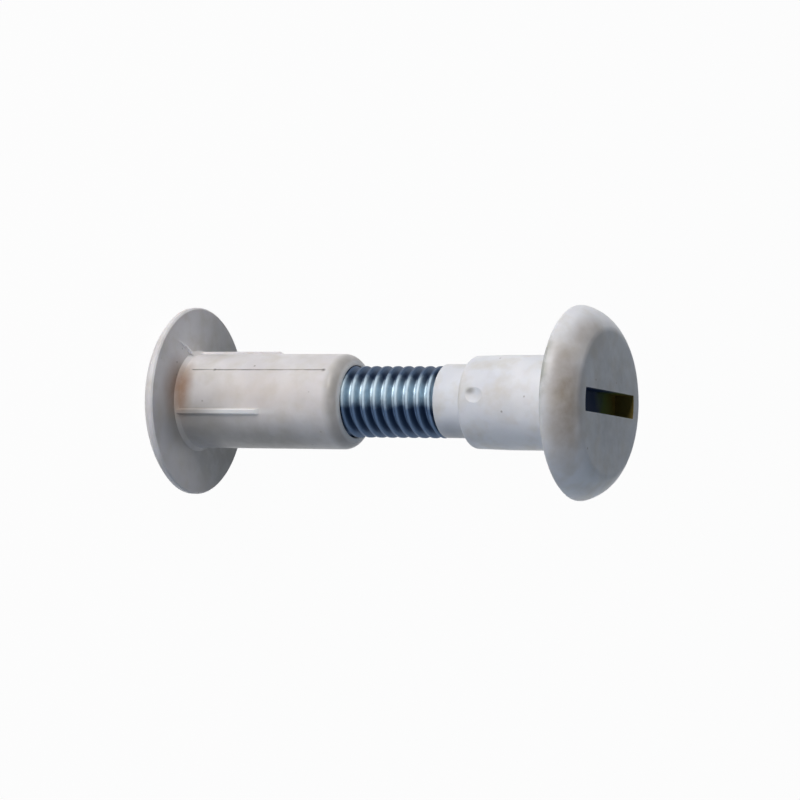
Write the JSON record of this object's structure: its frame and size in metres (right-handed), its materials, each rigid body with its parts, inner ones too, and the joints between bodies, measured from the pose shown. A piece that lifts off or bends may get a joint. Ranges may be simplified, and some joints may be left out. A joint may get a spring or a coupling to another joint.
{
  "type": "two-part binding barrel screw",
  "caption": "Two-part furniture connecting screw: a plastic barrel nut and a slotted steel screw with a moulded plastic head and shoulder.",
  "frame": {"origin": "bottom centre of the object standing on the flat outer face of the nut's head", "axes": "+Z along the screw from the nut's head to the screw's head; the driver slot runs close to Y"},
  "size_m": [0.0159, 0.0158, 0.0401],
  "materials": {
    "nut_plastic": "moulded nylon, satin",
    "zinc_plated_steel": "bright zinc plating",
    "jacket_plastic": "moulded nylon, satin"
  },
  "bodies": {
    "nut": {"barrel_nut": "nut_plastic"},
    "screw": {"threaded_core": "zinc_plated_steel", "screw_jacket": "jacket_plastic"}
  },
  "joints": [
    {"name": "thread_travel", "type": "slide", "parent": "nut", "child": "screw", "axis": [0, 0, 1], "range_m": [-0.0085, 0.01]}
  ]
}
